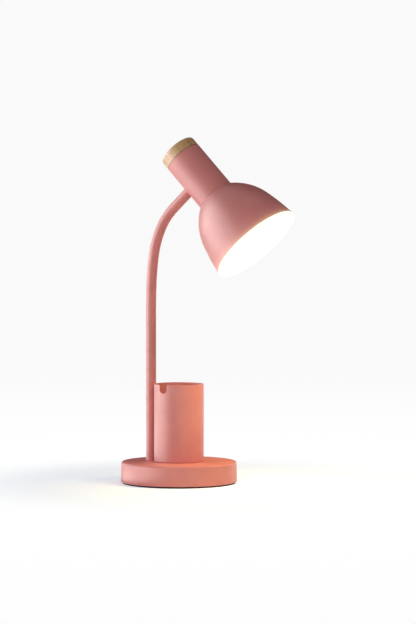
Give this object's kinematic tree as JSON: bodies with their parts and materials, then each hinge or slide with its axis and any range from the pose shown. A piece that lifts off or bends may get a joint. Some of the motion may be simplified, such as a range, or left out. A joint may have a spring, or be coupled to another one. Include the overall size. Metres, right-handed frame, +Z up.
{
  "type": "desk lamp with pen holder",
  "caption": "Desk lamp: weighted round base with an upright pen cup, bendable gooseneck arm, cylindrical neck with a wooden end cap and a flared shade over a screw-in bulb.",
  "frame": {"origin": "centre of the base's resting face, on the desk", "axes": "+Z up, +X from the arm towards the side the head leans over, the arm and head lie in the XZ plane"},
  "size_m": [0.2324, 0.15, 0.4447],
  "materials": {
    "painted_steel": "satin pink paint",
    "sleeve": "smooth pink silicone sleeve",
    "hose_steel": "wound steel hose",
    "zinc_steel": "zinc plated",
    "cast_weight": "raw casting",
    "pad": "dark foam rubber",
    "black_plastic": "fine moulded texture",
    "white_plastic": "fine moulded texture",
    "brass": "bright",
    "lead_jacket": "smooth jacket",
    "oak": "fine grain, clear oil",
    "bulb_housing": "white housing",
    "bulb_cap": "nickel plated",
    "diffuser": "milky diffuser"
  },
  "bodies": {
    "base": {"base_cover": "painted_steel", "base_weight": "cast_weight", "base_plate": "zinc_steel", "foot_pad": "pad", "plate_screws": "zinc_steel", "cord_gland": "black_plastic", "switch_housing": "black_plastic", "switch_tabs": "brass", "switch_leads": "lead_jacket", "terminal_block": "white_plastic", "pen_cup": "painted_steel", "cup_bolt": "zinc_steel", "cup_washer": "zinc_steel", "cup_nut": "zinc_steel", "arm_foot": "painted_steel", "arm_foot_washer": "zinc_steel", "arm_foot_nut": "zinc_steel", "hose_base": "hose_steel", "sleeve_base": "sleeve", "lamp_lead_base": "lead_jacket"},
    "rocker": {"switch_rocker": "black_plastic"},
    "link_1": {"hose_1": "hose_steel", "sleeve_1": "sleeve", "lamp_lead_1": "lead_jacket"},
    "link_2": {"hose_2": "hose_steel", "sleeve_2": "sleeve", "lamp_lead_2": "lead_jacket"},
    "link_3": {"hose_3": "hose_steel", "sleeve_3": "sleeve", "lamp_lead_3": "lead_jacket"},
    "link_4": {"hose_4": "hose_steel", "sleeve_4": "sleeve", "lamp_lead_4": "lead_jacket"},
    "link_5": {"hose_5": "hose_steel", "sleeve_5": "sleeve", "lamp_lead_5": "lead_jacket"},
    "link_6": {"hose_6": "hose_steel", "sleeve_6": "sleeve", "lamp_lead_6": "lead_jacket"},
    "head": {"head_fitting": "painted_steel", "head_washer": "zinc_steel", "head_nut": "zinc_steel", "neck_tube": "painted_steel", "wood_cap": "oak", "wood_cap_screw": "zinc_steel", "shade": "painted_steel", "shade_ring": "black_plastic", "lampholder_body": "black_plastic", "lampholder_shell": "brass", "lampholder_contact": "brass", "lamp_lead_head": "lead_jacket"},
    "bulb": {"bulb_cap": "bulb_cap", "bulb_insulator": "black_plastic", "bulb_tip": "brass", "bulb_housing": "bulb_housing", "bulb_board": "zinc_steel", "bulb_globe": "diffuser"}
  },
  "joints": [
    {"name": "arm_bend_1", "type": "hinge", "parent": "base", "child": "link_1", "pos_m": [-0.0408, 0, 0.15], "axis": [0, 1, 0], "range_deg": [-12, 15]},
    {"name": "arm_lean_1", "type": "hinge", "parent": "link_1", "child": "link_2", "pos_m": [-0.0408, 0, 0.1855], "axis": [1, 0, 0], "range_deg": [-20, 20]},
    {"name": "arm_bend_2", "type": "hinge", "parent": "link_2", "child": "link_3", "pos_m": [-0.0408, 0, 0.221], "axis": [0, 1, 0], "range_deg": [-12, 15]},
    {"name": "arm_lean_2", "type": "hinge", "parent": "link_3", "child": "link_4", "pos_m": [-0.04003, 0, 0.25649], "axis": [0.999, 0, -0.0436], "range_deg": [-20, 20]},
    {"name": "arm_bend_3", "type": "hinge", "parent": "link_4", "child": "link_5", "pos_m": [-0.03681, 0, 0.29183], "axis": [0, 1, 0], "range_deg": [-12, 15]},
    {"name": "arm_lean_3", "type": "hinge", "parent": "link_5", "child": "link_6", "pos_m": [-0.02717, 0, 0.32588], "axis": [0.9157, 0, -0.402], "range_deg": [-20, 20]},
    {"name": "arm_bend_4", "type": "hinge", "parent": "link_6", "child": "head", "pos_m": [-0.00685, 0, 0.35469], "axis": [0, 1, 0], "range_deg": [-12, 15]},
    {"name": "bulb_out", "type": "slide", "parent": "head", "child": "bulb", "axis": [0.6858, 0, -0.7278], "range_m": [0, 0.1]},
    {"name": "switch_rock", "type": "hinge", "parent": "base", "child": "rocker", "pos_m": [-0.06419, 0.03706, 0.014], "axis": [0, 0, 1], "range_deg": [-20, 0]}
  ],
  "couplings": [
    {"joint": "arm_bend_2", "follows": "arm_bend_1", "ratio": 1},
    {"joint": "arm_bend_3", "follows": "arm_bend_1", "ratio": 1},
    {"joint": "arm_bend_4", "follows": "arm_bend_1", "ratio": 1},
    {"joint": "arm_lean_2", "follows": "arm_lean_1", "ratio": 1},
    {"joint": "arm_lean_3", "follows": "arm_lean_1", "ratio": 1}
  ]
}
